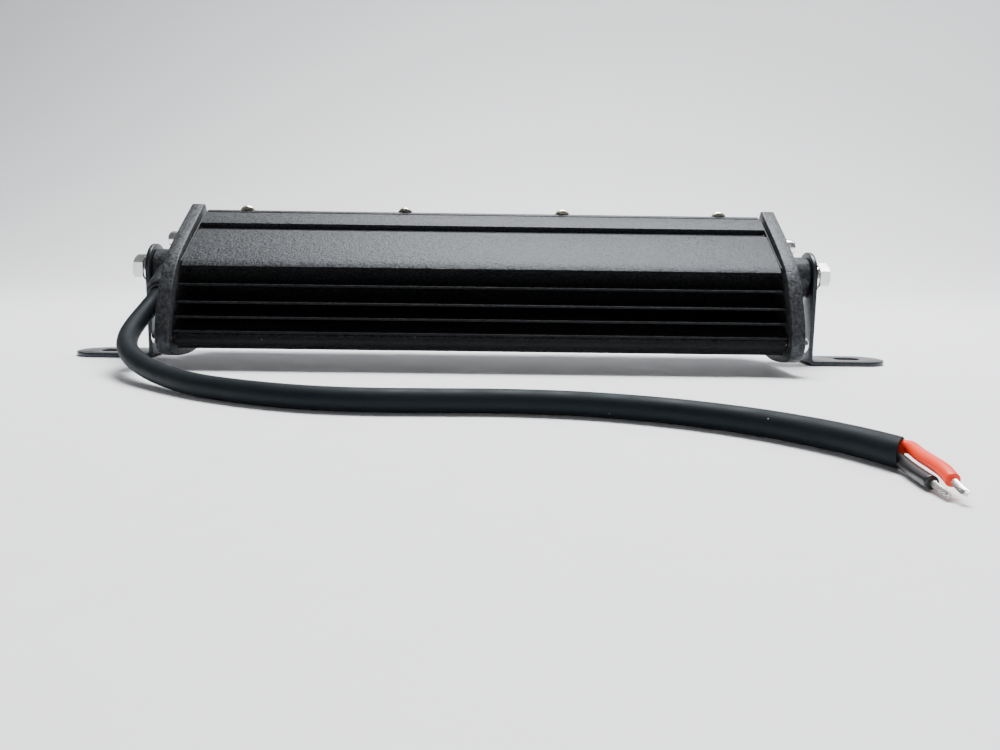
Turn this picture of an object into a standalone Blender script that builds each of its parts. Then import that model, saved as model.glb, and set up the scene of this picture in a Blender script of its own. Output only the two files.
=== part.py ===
"""LED light bar: a finned aluminium lamp between two end caps, on two L brackets.

World frame: metres, +Z up, X along the bar, origin on the ground below the
middle of the bar. The light leaves towards +Y and up; the fins face -Y.
Most pieces are modelled in the lamp's own frame, an empty at the tip of the
nose: X along the bar, Y (called a) from the nose to the front, Z (called h)
across the bar's height.
"""

from math import asin, atan2, cos, pi, radians, sin, tau

import bmesh
import bpy
from mathutils import Matrix, Vector

MM = 0.001
GAP = 0.3  # clearance between neighbouring pieces, mm

# overall, mm
BAR_LENGTH = 230.0  # over the outer faces of the end caps
CAP_THICK = 5.0
TILT = radians(32.0)  # the front looks up by this much
BOLT_A = 49.0  # bolt axis behind the nose tip, on the lamp's axis
BOLT_Y, BOLT_Z = 8.9, 34.1  # the same axis in the world

# lamp section, mm
CAP_FRONT = 65.5
CAP_PROFILE = [  # upper half, front to nose
    (65.5, 19.2), (64.0, 20.7), (45.0, 20.8), (36.7, 20.6), (31.5, 20.3),
    (27.4, 19.8), (23.3, 18.8), (19.6, 17.3), (15.9, 15.4), (12.4, 13.2),
    (9.2, 11.0), (6.2, 8.8), (3.4, 6.4), (1.4, 4.2), (0.4, 2.2), (0.0, 0.0),
]
BODY_HALF = 109.0  # housing half length
BODY_H = 18.5
RAIL_H = 18.9
FIN_THICK = 0.8
FIN_SLOPE = radians(35.0)  # each fin runs from its tip inward and towards the axis
FINS = [(14.0, 18.6), (10.5, 12.6), (7.1, 8.3), (3.7, 4.2)]  # (h, tip a)
FIN_ROOT = 27.0
BACK_PLATE = 2.5
WEB_H = 0.8  # half thickness of the web where it meets the nose
NOSE_A, NOSE_R = 5.7, 2.8  # screw port that runs along the nose
PORT_A, PORT_H = 44.5, 16.75  # upper and lower end cap screws
BEZEL_SCREW_X = (-93.3, -31.1, 31.1, 93.3)
BEZEL_SCREW_H = 17.3

# end bosses and bolts (M6)
BOSS_R, BOSS_END = 8.0, 128.0
INSERT_R, INSERT_BORE = 4.0, 3.3
BOLT_R, HEX_AF, HEX_H = 3.0, 10.0, 4.0
HEX_TURN = radians(30.0)  # how far each head is turned on its axis

# brackets
LEG_X, SHEET = 128.3, 1.6
BRACKET_HALF = 10.0
FOOT_END = 161.5
BEND_R = 1.2
SLOT_X0, SLOT_X1, SLOT_R = 142.0, 152.3, 3.25

# cable
HOOD_X, HOOD_H, HOOD_R = -121.6, 1.5, 5.9
HOOD_A0, HOOD_A1 = 31.0, 46.0
CABLE_R = 3.4
CORE_R, TIP_R = 1.45, 0.75
FLOOR_Z = CABLE_R + 0.05
SHEATH_ROUTE = [  # world, mm: out of the hood, down and along the ground
    (-121.6, -2.9, 28.5), (-122.0, -8.9, 24.8), (-123.4, -16.5, 20.2),
    (-124.3, -25.5, 15.7), (-123.3, -35.0, 12.2), (-119.3, -46.0, 9.3),
    (-112.0, -57.4, 6.8), (-102.2, -68.2, 4.8), (-91.6, -78.2, 3.8),
    (-78.9, -88.4, FLOOR_Z), (-60.0, -99.3, FLOOR_Z), (-43.3, -105.2, FLOOR_Z),
    (-28.0, -107.2, FLOOR_Z), (-10.4, -106.9, FLOOR_Z), (8.0, -106.6, FLOOR_Z),
    (28.8, -109.6, FLOOR_Z), (48.8, -117.4, FLOOR_Z), (65.4, -128.4, FLOOR_Z),
    (77.0, -140.2, FLOOR_Z), (84.8, -151.6, FLOOR_Z), (89.6, -161.9, FLOOR_Z),
]
RED_ROUTE = [(90.75, -161.8, 4.7), (91.25, -162.95, 4.75), (90.9, -167.5, 4.4), (90.2, -173.5, 4.4), (89.9, -179.0, 4.1), (89.6, -183.0, 3.2)]
RED_TIP = [(89.55, -183.45, 3.1), (89.55, -185.4, 2.6), (89.7, -187.6, 2.0)]
BLACK_ROUTE = [(88.75, -162.75, 2.2), (89.1, -163.6, 2.05), (88.9, -167.5, 1.7), (88.4, -173.0, 1.6), (88.0, -178.6, 1.55)]
BLACK_TIP = [(88.0, -179.05, 1.5), (87.95, -182.0, 1.2), (88.1, -185.0, 0.95)]


# ---------------------------------------------------------------- set-up
for old in list(bpy.data.objects):
    bpy.data.objects.remove(old, do_unlink=True)

parts = bpy.data.collections.new("led_light_bar")
helpers = bpy.data.collections.new("cutters")
bpy.context.scene.collection.children.link(parts)
bpy.context.scene.collection.children.link(helpers)


def empty(name, location, rotation=(0, 0, 0)):
    obj = bpy.data.objects.new(name, None)
    obj.location = Vector(location) * MM
    obj.rotation_euler = rotation
    obj.empty_display_size = 0.01
    parts.objects.link(obj)
    return obj


TIP_Y = BOLT_Y - BOLT_A * cos(TILT)
TIP_Z = BOLT_Z - BOLT_A * sin(TILT)
lamp = empty("lamp_frame", (0, TIP_Y, TIP_Z), (TILT, 0, 0))
pivots = {
    -1: empty("bracket_left_pivot", (-LEG_X, BOLT_Y, BOLT_Z)),
    1: empty("bracket_right_pivot", (LEG_X, BOLT_Y, BOLT_Z)),
}


def material(name, colour, roughness, metallic=0.0):
    mat = bpy.data.materials.new(name)
    mat.use_nodes = True
    shader = mat.node_tree.nodes["Principled BSDF"]
    shader.inputs["Base Color"].default_value = (*colour, 1.0)
    shader.inputs["Roughness"].default_value = roughness
    shader.inputs["Metallic"].default_value = metallic
    mat.diffuse_color = (*colour, 1.0)
    return mat


POWDER = ((0.035, 0.036, 0.039), 0.6, 0.0)
SHEET_BLACK = ((0.02, 0.02, 0.021), 0.35, 0.0)
ZINC = ((0.78, 0.78, 0.76), 0.25, 1.0)
SILICONE = ((0.03, 0.03, 0.03), 0.7, 0.0)
PVC = ((0.022, 0.023, 0.025), 0.45, 0.0)
RED = ((0.75, 0.03, 0.01), 0.4, 0.0)
COPPER_TINNED = ((0.8, 0.8, 0.8), 0.3, 1.0)
BOARD_WHITE = ((0.85, 0.85, 0.82), 0.5, 0.0)
PHOSPHOR = ((0.9, 0.75, 0.2), 0.4, 0.0)
CLEAR = ((0.9, 0.92, 0.93), 0.05, 0.0)
MIRROR = ((0.85, 0.85, 0.86), 0.1, 1.0)
GREEN = ((0.02, 0.2, 0.07), 0.5, 0.0)
PAD_GREY = ((0.4, 0.4, 0.42), 0.8, 0.0)


def add(obj, look=None, parent=None, cutter=False):
    """Put an object in its collection, under its parent, with its material."""
    (helpers if cutter else parts).objects.link(obj)
    if parent:
        obj.parent = parent
    if cutter:
        obj.hide_render = True
        obj.display_type = "WIRE"
    elif look:
        obj.data.materials.append(material(obj.name, *look))
    return obj


def finish_mesh(name, bm, look=None, parent=None, cutter=False, smooth=True):
    bmesh.ops.remove_doubles(bm, verts=bm.verts, dist=1e-6)
    bmesh.ops.recalc_face_normals(bm, faces=bm.faces)
    mesh = bpy.data.meshes.new(name)
    bm.to_mesh(mesh)
    bm.free()
    if smooth:
        mesh.shade_smooth()
        mesh.set_sharp_from_angle(angle=radians(35))
    return add(bpy.data.objects.new(name, mesh), look, parent, cutter)


def ring(x, y, r, n=16):
    return [(x + r * cos(tau * i / n), y + r * sin(tau * i / n)) for i in range(n)]


def rect(x0, y0, x1, y1):
    return [(x0, y0), (x1, y0), (x1, y1), (x0, y1)]


# a section drawn in (a, h) becomes X = along the bar, Y = a, Z = h
SECTION = Matrix(((0, 0, 1, 0), (1, 0, 0, 0), (0, 1, 0, 0), (0, 0, 0, 1)))
# an outline drawn in (x, h) becomes X, Z, with its thickness along a
FACE_ON = Matrix(((1, 0, 0, 0), (0, 0, -1, 0), (0, 1, 0, 0), (0, 0, 0, 1)))


def plate(name, outlines, lo, hi, turn=SECTION, look=None, parent=None, cutter=False):
    """A flat outline with holes, extruded from lo to hi along its normal."""
    curve = bpy.data.curves.new(name + "_outline", "CURVE")
    curve.dimensions = "2D"
    curve.fill_mode = "BOTH"
    curve.extrude = (hi - lo) / 2 * MM
    for outline in outlines:
        spline = curve.splines.new("POLY")
        spline.points.add(len(outline) - 1)
        for point, (x, y) in zip(spline.points, outline):
            point.co = (x * MM, y * MM, 0, 1)
        spline.use_cyclic_u = True
    guide = bpy.data.objects.new(name + "_guide", curve)
    parts.objects.link(guide)
    graph = bpy.context.evaluated_depsgraph_get()
    mesh = bpy.data.meshes.new_from_object(guide.evaluated_get(graph))
    bpy.data.objects.remove(guide)
    mid = (lo + hi) / 2 * MM
    if turn is FACE_ON:
        mid = -mid
    mesh.transform(turn @ Matrix.Translation((0, 0, mid)))
    bm = bmesh.new()
    bm.from_mesh(mesh)
    return finish_mesh(name, bm, look, parent, cutter)


def boolean(obj, other, operation="DIFFERENCE"):
    mod = obj.modifiers.new(operation.lower(), "BOOLEAN")
    mod.operation = operation
    mod.object = other
    mod.solver = "EXACT"
    return obj


def axis_matrix(origin, direction):
    z = Vector(direction).normalized()
    return Matrix.Translation(Vector(origin) * MM) @ z.to_track_quat("Z", "Y").to_matrix().to_4x4()


def turned(bm, profile, origin, direction, n=16, closed=False):
    """Spin a (radius, height) profile about a line; closed makes a ring."""
    frame = axis_matrix(origin, direction)
    verts = [bm.verts.new(frame @ Vector((r * MM, 0, z * MM))) for r, z in profile]
    pairs = list(zip(verts, verts[1:])) + ([(verts[-1], verts[0])] if closed else [])
    edges = [bm.edges.new(p) for p in pairs]
    bmesh.ops.spin(
        bm, geom=verts + edges, cent=frame.translation,
        axis=frame.to_3x3() @ Vector((0, 0, 1)), angle=tau, steps=n, use_merge=True,
    )
    bmesh.ops.remove_doubles(bm, verts=bm.verts, dist=1e-6)
    bmesh.ops.dissolve_degenerate(bm, edges=bm.edges, dist=1e-7)


def rod(bm, origin, direction, length, r, n=16, r2=None):
    frame = axis_matrix(origin, direction)
    bmesh.ops.create_cone(
        bm, cap_ends=True, segments=n, radius1=r * MM,
        radius2=(r if r2 is None else r2) * MM, depth=length * MM,
        matrix=frame @ Matrix.Translation((0, 0, length / 2 * MM)),
    )


def block(bm, lo, hi):
    lo, hi = Vector(lo) * MM, Vector(hi) * MM
    size = hi - lo
    bmesh.ops.create_cube(
        bm, size=1.0,
        matrix=Matrix.Translation((lo + hi) / 2) @ Matrix.Diagonal((*size, 1.0)),
    )


# ---------------------------------------------------------------- housing
def web(a):
    """Half thickness of the web, which thickens from the nose to the back plate."""
    return WEB_H + 0.0008 * max(a - 8.4, 0.0) ** 2


def root_of(a, h):
    """Follow a fin's flank inward until it meets the back plate, the web or the nose."""
    while a < FIN_ROOT and h > web(a) and (a - NOSE_A) ** 2 + h * h > NOSE_R ** 2:
        a, h = a + 0.01 * cos(FIN_SLOPE), h - 0.01 * sin(FIN_SLOPE)
    if a >= FIN_ROOT:
        return (FIN_ROOT, h)
    return (a, max(h, web(a)))


def fin_outline(h, tip):
    """One fin from its upper root round its tip to its lower root."""
    t = FIN_THICK / 2
    da, dh = t * sin(FIN_SLOPE), t * cos(FIN_SLOPE)
    upper = (tip + da + 0.10, h + dh - 0.07)
    lower = (tip - da + 0.05, h - dh - 0.035)
    return [root_of(*upper), upper, (tip, h), lower, root_of(*lower)]


def nose_point(angle):
    return (NOSE_A + NOSE_R * cos(angle), max(NOSE_R * sin(angle), 0.0))


def housing_section():
    half = [
        (FIN_ROOT + BACK_PLATE, 0.0), (FIN_ROOT + BACK_PLATE, 16.0), (38.4, 16.0),
        (38.4, 12.6), (43.4, 12.6), (43.4, 15.0), (61.3, 15.0), (61.3, RAIL_H),
        (53.2, RAIL_H), (53.2, 17.2), (49.0, 17.2), (49.0, BODY_H), (28.5, BODY_H),
        (25.2, 17.75), (26.0, 15.7), (FIN_ROOT, 15.7),
    ]
    for h, tip in FINS[:-1]:
        half += fin_outline(h, tip)
    nub = fin_outline(*FINS[-1])
    start = asin(WEB_H / NOSE_R)
    first, last = (atan2(p[1], p[0] - NOSE_A) for p in (nub[0], nub[-1]))
    half += [nose_point(start + (first - start) * i / 4) for i in range(4)] + nub
    half += [nose_point(last + (pi - last) * i / 6) for i in range(1, 7)]
    lower = [(a, -h) for a, h in reversed(half[1:-1])]
    return half + lower


housing = plate("housing", [housing_section()], -BODY_HALF, BODY_HALF, look=POWDER, parent=lamp)
bm = bmesh.new()
for side in (-1, 1):
    for a, h in ((NOSE_A, 0), (PORT_A, PORT_H), (PORT_A, -PORT_H)):
        rod(bm, (side * 98.0, a, h), (side, 0, 0), 15.0, 1.35, 10)
for x in BEZEL_SCREW_X:
    for s in (-1, 1):
        rod(bm, (x, 54.6, s * BEZEL_SCREW_H), (0, 1, 0), 10.0, 1.3, 10)
boolean(housing, finish_mesh("housing_screw_ports", bm, parent=lamp, cutter=True))


# ---------------------------------------------------------------- end caps
def cap_outline():
    lower = [(a, -h) for a, h in reversed(CAP_PROFILE[:-1])]
    return CAP_PROFILE + lower


SCREW_SPOTS = [(NOSE_A, 0.0), (PORT_A, PORT_H), (PORT_A, -PORT_H)]
inner, outer = BAR_LENGTH / 2 - CAP_THICK, BAR_LENGTH / 2


def end_cap(side):
    name = "end_cap_right" if side > 0 else "end_cap_left"
    holes = [ring(a, h, 1.8, 12) for a, h in SCREW_SPOTS]
    lo, hi = sorted((side * inner, side * outer))
    cap = plate(name, [cap_outline()] + holes, lo, hi, look=POWDER, parent=lamp)
    bm = bmesh.new()
    turned(bm, [(0, 0), (9.0, 0), (9.0, 1.4), (BOSS_R + 0.2, 3.2), (BOSS_R, 5.0),
                (BOSS_R, BOSS_END - outer + 0.6), (BOSS_R - 0.4, BOSS_END - outer + 1.0), (0, BOSS_END - outer + 1.0)],
           (side * (outer - 1.0), BOLT_A, 0), (side, 0, 0), 28)
    boolean(cap, finish_mesh(name + "_boss", bm, parent=lamp, cutter=True), "UNION")
    if side < 0:
        bm = bmesh.new()
        rod(bm, (HOOD_X, HOOD_A0, HOOD_H), (0, 1, 0), HOOD_A1 - HOOD_A0, HOOD_R, 24, HOOD_R - 1.0)
        boolean(cap, finish_mesh("hood", bm, parent=lamp, cutter=True), "UNION")
        bm = bmesh.new()
        rod(bm, (HOOD_X, HOOD_A0 - 1.0, HOOD_H), (0, 1, 0), 6.0, 4.9, 20)
        boolean(cap, finish_mesh("hood_mouth", bm, parent=lamp, cutter=True))
        bm = bmesh.new()
        rod(bm, (HOOD_X, HOOD_A0 - 1.0, HOOD_H), (0, 1, 0), 11.5, CABLE_R + 0.35, 16)
        boolean(cap, finish_mesh("hood_bore", bm, parent=lamp, cutter=True))
        bm = bmesh.new()
        rod(bm, (HOOD_X, 38.3, HOOD_H), (1, 0, 0), 14.0, 2.8, 14)
        boolean(cap, finish_mesh("lead_passage", bm, parent=lamp, cutter=True))
    bm = bmesh.new()
    rod(bm, (side * (BOSS_END - 11.0), BOLT_A, 0), (side, 0, 0), 12.0, INSERT_R + GAP, 20)
    boolean(cap, finish_mesh(name + "_insert_bore", bm, parent=lamp, cutter=True))
    return cap


for side in (-1, 1):
    end_cap(side)
    word = "right" if side > 0 else "left"
    # the silicone sheet between the cap and the open end of the housing
    lo, hi = sorted((side * (BODY_HALF + GAP), side * (inner - GAP)))
    plate("end_gasket_" + word,
          [rect(27.5, -18.4, 61.0, 18.4), rect(30.5, -12.2, 57.0, 12.2)]
          + [ring(PORT_A, s * PORT_H, 1.4, 12) for s in (-1, 1)],
          lo, hi, look=SILICONE, parent=lamp)
    # self-tapping pan head screws through the cap into the housing's ports
    for number, (a, h) in enumerate(SCREW_SPOTS, 1):
        bm = bmesh.new()
        tall = 1.4 if number > 1 else 0.0
        turned(bm, [(0, 0), (1.1, 0), (1.1, 15.2), (3.0, 15.2), (3.0, 16.4 + tall), (2.5, 17.2 + tall), (1.3, 17.7 + tall), (0, 17.7 + tall)],
               (side * (outer - 14.9), a, h), (side, 0, 0), 12)
        finish_mesh(f"end_cap_screw_{word}_{number}", bm, look=ZINC, parent=lamp)
    # brass insert that the M6 bolt threads into
    bm = bmesh.new()
    turned(bm, [(INSERT_BORE, 0), (INSERT_R, 0), (INSERT_R, 10.2), (INSERT_BORE, 10.2)],
           (side * (BOSS_END - 10.7), BOLT_A, 0), (side, 0, 0), 20, closed=True)
    finish_mesh("bolt_insert_" + word, bm, look=((0.7, 0.5, 0.2), 0.3, 1.0), parent=lamp)
    # washers and bolt
    x = LEG_X + SHEET + GAP
    bm = bmesh.new()
    turned(bm, [(BOLT_R + GAP, 0), (5.6, 0), (5.6, 0.8), (BOLT_R + GAP, 0.8)],
           (side * x, BOLT_A, 0), (side, 0, 0), 24, closed=True)
    finish_mesh("flat_washer_" + word, bm, look=ZINC, parent=lamp)
    x += 0.8 + GAP
    bm = bmesh.new()
    turned(bm, [(BOLT_R + GAP, 0), (5.0, 0), (5.0, 1.2), (BOLT_R + GAP, 1.2)],
           (side * x, BOLT_A, 0), (side, 0, 0), 20, closed=True)
    finish_mesh("spring_washer_" + word, bm, look=ZINC, parent=lamp)
    x += 1.2 + GAP
    bm = bmesh.new()
    turned(bm, [(0, 0), (BOLT_R, 0), (BOLT_R, x - 119.0 + 1.0), (0, x - 119.0 + 1.0)],
           (side * 119.0, BOLT_A, 0), (side, 0, 0), 20)
    shank = finish_mesh("bolt_shank_" + word, bm, parent=lamp, cutter=True)
    bm = bmesh.new()
    corner = HEX_AF / 2 / cos(pi / 6) * MM
    bmesh.ops.create_cone(
        bm, cap_ends=True, segments=6, radius1=corner, radius2=corner, depth=HEX_H * MM,
        matrix=axis_matrix((side * x, BOLT_A, 0), (side, 0, 0)) @ Matrix.Rotation(HEX_TURN, 4, "Z") @ Matrix.Translation((0, 0, HEX_H / 2 * MM)),
    )
    boolean(finish_mesh("bolt_" + word, bm, look=ZINC, parent=lamp, smooth=False), shank, "UNION")

# ---------------------------------------------------------------- front
plate("front_bezel",
      [rect(-BODY_HALF, -RAIL_H, BODY_HALF, RAIL_H), rect(-102.5, -12.4, 102.5, 12.4)]
      + [ring(x, s * BEZEL_SCREW_H, 1.4, 10) for x in BEZEL_SCREW_X for s in (-1, 1)],
      61.6, 63.3, FACE_ON, POWDER, lamp)
plate("lens_gasket",
      [rect(-107.8, -14.6, 107.8, 14.6), rect(-103.0, -13.0, 103.0, 13.0)],
      59.9, 61.3, FACE_ON, SILICONE, lamp)
plate("lens", [rect(-107.8, -14.6, 107.8, 14.6)], 56.6, 59.6, FACE_ON, CLEAR, lamp)
for s, word in ((1, "top"), (-1, "bottom")):
    for number, x in enumerate(BEZEL_SCREW_X, 1):
        bm = bmesh.new()
        turned(bm, [(0, 0), (1.1, 0), (1.1, 8.6), (3.1, 8.6), (3.1, 9.6), (2.5, 10.3), (1.2, 10.7), (0, 10.7)],
               (x, 55.0, s * BEZEL_SCREW_H), (0, 1, 0), 12)
        finish_mesh(f"bezel_screw_{word}_{number}", bm, look=ZINC, parent=lamp)

# reflector: a plate with a flared cup over each LED
LED_X = [(i - 5.5) * 17.0 for i in range(12)]
LED_SPOTS = [(x, h) for x in LED_X for h in (-7.0, 7.0)]
bm = bmesh.new()
block(bm, (-107.0, 48.0, -14.3), (107.0, 56.3, 14.3))
reflector = finish_mesh("reflector", bm, look=MIRROR, parent=lamp)
bm = bmesh.new()
for x, h in LED_SPOTS:
    rod(bm, (x, 47.5, h), (0, 1, 0), 9.3, 2.6, 14, 6.4)
boolean(reflector, finish_mesh("reflector_cups", bm, parent=lamp, cutter=True))

# LED packages standing on the board's printed circuit layer
bm = bmesh.new()
for x, h in LED_SPOTS:
    block(bm, (x - 1.75, 46.5, h - 1.75), (x + 1.75, 47.6, h + 1.75))
packages = finish_mesh("led_packages", bm, parent=lamp, cutter=True)
bm = bmesh.new()
block(bm, (-106.0, 46.4, -9.5), (106.0, 46.65, 9.5))
boolean(finish_mesh("led_array", bm, look=PHOSPHOR, parent=lamp, smooth=False), packages, "UNION")
bm = bmesh.new()
block(bm, (-107.0, 44.5, -14.6), (107.0, 46.1, 14.6))
finish_mesh("led_board", bm, look=BOARD_WHITE, parent=lamp)
for s, word in ((1, "top"), (-1, "bottom")):
    bm = bmesh.new()
    block(bm, (-106.0, 43.7, min(s * 12.9, s * 14.6)), (106.0, 44.2, max(s * 12.9, s * 14.6)))
    finish_mesh("thermal_pad_" + word, bm, look=PAD_GREY, parent=lamp)
bm = bmesh.new()
block(bm, (-80.0, 30.4, -9.5), (60.0, 32.0, 9.5))
finish_mesh("driver_board", bm, look=GREEN, parent=lamp)
for name, x in (("driver_inductor", -45.0), ("driver_capacitor", 20.0)):
    bm = bmesh.new()
    rod(bm, (x, 32.3, 0), (0, 1, 0), 6.0, 5.0, 16)
    finish_mesh(name, bm, look=PVC, parent=lamp)
bm = bmesh.new()
block(bm, (-16.0, 32.3, -4.0), (-6.0, 34.2, 4.0))
finish_mesh("driver_chip", bm, look=PVC, parent=lamp)


# ---------------------------------------------------------------- brackets
def bracket(side):
    """L of bent sheet, in its pivot's frame: the bolt axis is the origin."""
    name = "bracket_right" if side > 0 else "bracket_left"
    pivot = pivots[side]
    foot = -BOLT_Z
    outer_r = BEND_R + SHEET
    # side view of the outer face of the sheet, leg then bend then foot
    path = [(0.0, BRACKET_HALF)]
    for i in range(5):
        angle = pi + (pi / 2) * i / 4
        path.append((outer_r + outer_r * cos(angle), foot + outer_r + outer_r * sin(angle)))
    path.append((FOOT_END - LEG_X, foot))
    inside = [(FOOT_END - LEG_X, foot + SHEET)]
    for i in range(5):
        angle = 1.5 * pi - (pi / 2) * i / 4
        inside.append((outer_r + BEND_R * cos(angle), foot + outer_r + BEND_R * sin(angle)))
    inside.append((SHEET, BRACKET_HALF))
    strip = [(side * x, z) for x, z in path + inside]
    body = plate(name, [strip], -BRACKET_HALF, BRACKET_HALF, FACE_ON, SHEET_BLACK, pivot)
    # rounded top of the leg
    top = [(-BRACKET_HALF - 1, foot - 5), (BRACKET_HALF + 1, foot - 5), (BRACKET_HALF + 1, -0.01), (BRACKET_HALF, -0.01)]
    top += [(BRACKET_HALF * cos(pi * i / 16), BRACKET_HALF * sin(pi * i / 16)) for i in range(1, 16)]
    top += [(-BRACKET_HALF, -0.01), (-BRACKET_HALF - 1, -0.01)]
    boolean(body, plate(name + "_leg_shape", [top], -60, 60, SECTION, parent=pivot, cutter=True), "INTERSECT")
    # rounded end of the foot, looking down
    cx = FOOT_END - LEG_X - BRACKET_HALF
    end = [(side * -3.0, -BRACKET_HALF - 1), (side * cx, -BRACKET_HALF - 1), (side * cx, -BRACKET_HALF)]
    end += [(side * (cx + BRACKET_HALF * sin(pi * i / 16)), -BRACKET_HALF * cos(pi * i / 16)) for i in range(1, 16)]
    end += [(side * cx, BRACKET_HALF), (side * cx, BRACKET_HALF + 1), (side * -3.0, BRACKET_HALF + 1)]
    boolean(body, plate(name + "_foot_shape", [end], -60, 60, Matrix.Identity(4), parent=pivot, cutter=True), "INTERSECT")
    # slot along the foot
    x0, x1 = SLOT_X0 - LEG_X + SLOT_R, SLOT_X1 - LEG_X - SLOT_R
    slot = [(side * (x1 + SLOT_R * sin(pi * i / 8)), -SLOT_R * cos(pi * i / 8)) for i in range(9)]
    slot += [(side * (x0 - SLOT_R * sin(pi * i / 8)), SLOT_R * cos(pi * i / 8)) for i in range(9)]
    boolean(body, plate(name + "_slot", [slot], foot - 2, foot + 4, Matrix.Identity(4), parent=pivot, cutter=True))
    # bolt hole
    bm = bmesh.new()
    rod(bm, (side * -1.0, 0, 0), (side, 0, 0), 4.0, BOLT_R + GAP, 20)
    boolean(body, finish_mesh(name + "_bolt_hole", bm, parent=pivot, cutter=True))


bracket(-1)
bracket(1)


# ---------------------------------------------------------------- cable
def smooth_path(points, step):
    """Catmull-Rom through the points, then evenly spaced."""
    pts = [Vector(p) for p in points]
    pts = [2 * pts[0] - pts[1]] + pts + [2 * pts[-1] - pts[-2]]
    fine = []
    for i in range(1, len(pts) - 2):
        p0, p1, p2, p3 = pts[i - 1 : i + 3]
        for k in range(12):
            t = k / 12
            fine.append(0.5 * (2 * p1 + (p2 - p0) * t + (2 * p0 - 5 * p1 + 4 * p2 - p3) * t * t
                               + (3 * p1 - 3 * p2 + p3 - p0) * t ** 3))
    fine.append(pts[-2])
    total = sum((b - a).length for a, b in zip(fine, fine[1:]))
    count = max(2, round(total / step))
    out, walked, target = [fine[0]], 0.0, total / count
    for a, b in zip(fine, fine[1:]):
        length = (b - a).length
        while length and walked + length >= target - 1e-9 and len(out) < count:
            out.append(a.lerp(b, (target - walked) / length))
            target += total / count
        walked += length
    return out + [fine[-1]]


def tube(name, points, radius, step, look, parent=None, resolution=2):
    curve = bpy.data.curves.new(name, "CURVE")
    curve.dimensions = "3D"
    curve.bevel_depth = radius * MM
    curve.bevel_resolution = resolution
    curve.use_fill_caps = True
    spline = curve.splines.new("POLY")
    path = smooth_path(points, step)
    spline.points.add(len(path) - 1)
    for point, p in zip(spline.points, path):
        point.co = (*(p * MM), 1)
    return add(bpy.data.objects.new(name, curve), look, parent)


# rubber gland in the hood's mouth, round the sheath
bm = bmesh.new()
turned(bm, [(CABLE_R + GAP, 0), (4.2, -0.6), (4.6, 0.4), (4.6, 5.4), (CABLE_R + GAP, 5.4)],
       (HOOD_X, HOOD_A0 - 0.9, HOOD_H), (0, 1, 0), 20, closed=True)
finish_mesh("cable_gland", bm, look=SILICONE, parent=lamp)
tube("cable_sheath", SHEATH_ROUTE, CABLE_R, 7.0, PVC, resolution=3)
tube("wire_red", RED_ROUTE, CORE_R, 1.6, RED)
tube("wire_black", BLACK_ROUTE, CORE_R, 1.6, PVC)
tube("wire_tip_red", RED_TIP, TIP_R, 3.0, COPPER_TINNED)
tube("wire_tip_black", BLACK_TIP, TIP_R, 3.0, COPPER_TINNED)
for word, h, look in (("red", HOOD_H + 1.3, RED), ("black", HOOD_H - 1.3, PVC)):
    tube("inner_lead_" + word,
         [(HOOD_X, 36.9, h), (HOOD_X + 0.6, 38.2, h), (HOOD_X + 3.5, 38.6, h), (-108.0, 38.4, h),
          (-95.0, 37.6, h), (-84.0, 36.4, h), (-79.0, 34.0, h), (-78.5, 32.5, h)],
         0.9, 4.0, look, lamp, 2)
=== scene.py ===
"""LED light bar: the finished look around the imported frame."""
import random
from math import acos, asin, atan2, cos, pi, radians, sin, tan, tau

import bmesh
import bpy
from mathutils import Matrix, Vector


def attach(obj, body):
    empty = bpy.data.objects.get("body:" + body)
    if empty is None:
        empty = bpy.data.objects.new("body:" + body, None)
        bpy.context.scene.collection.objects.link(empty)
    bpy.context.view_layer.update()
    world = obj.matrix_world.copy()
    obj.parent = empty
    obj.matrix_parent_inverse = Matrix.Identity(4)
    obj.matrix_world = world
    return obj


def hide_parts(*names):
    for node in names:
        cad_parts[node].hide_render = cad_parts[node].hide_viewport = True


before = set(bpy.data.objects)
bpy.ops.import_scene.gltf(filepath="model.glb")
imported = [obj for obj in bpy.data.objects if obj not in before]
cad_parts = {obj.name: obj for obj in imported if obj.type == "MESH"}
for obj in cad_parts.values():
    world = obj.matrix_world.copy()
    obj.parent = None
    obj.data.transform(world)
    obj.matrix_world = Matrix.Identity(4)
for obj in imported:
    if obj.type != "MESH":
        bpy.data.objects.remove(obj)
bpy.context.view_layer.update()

MM = 0.001

# ------------------------------------------------------------------ camera
PITCH, YAW, ROLL, F_PX = radians(8.5), radians(-0.6), radians(0.78), 870.0
cam_data = bpy.data.cameras.new("camera")
cam_data.sensor_width = 36.0
cam_data.lens = F_PX / 1000 * 36
cam_data.clip_start, cam_data.clip_end = 0.01, 50
camera = bpy.data.objects.new("camera", cam_data)
bpy.context.scene.collection.objects.link(camera)
camera.matrix_world = (
    Matrix.Translation(Vector((3.6, -339.05, 45.35)) * MM)
    @ Matrix.Rotation(YAW, 4, "Z") @ Matrix.Rotation(pi / 2 - PITCH, 4, "X") @ Matrix.Rotation(ROLL, 4, "Z")
)
bpy.context.scene.camera = camera

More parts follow.
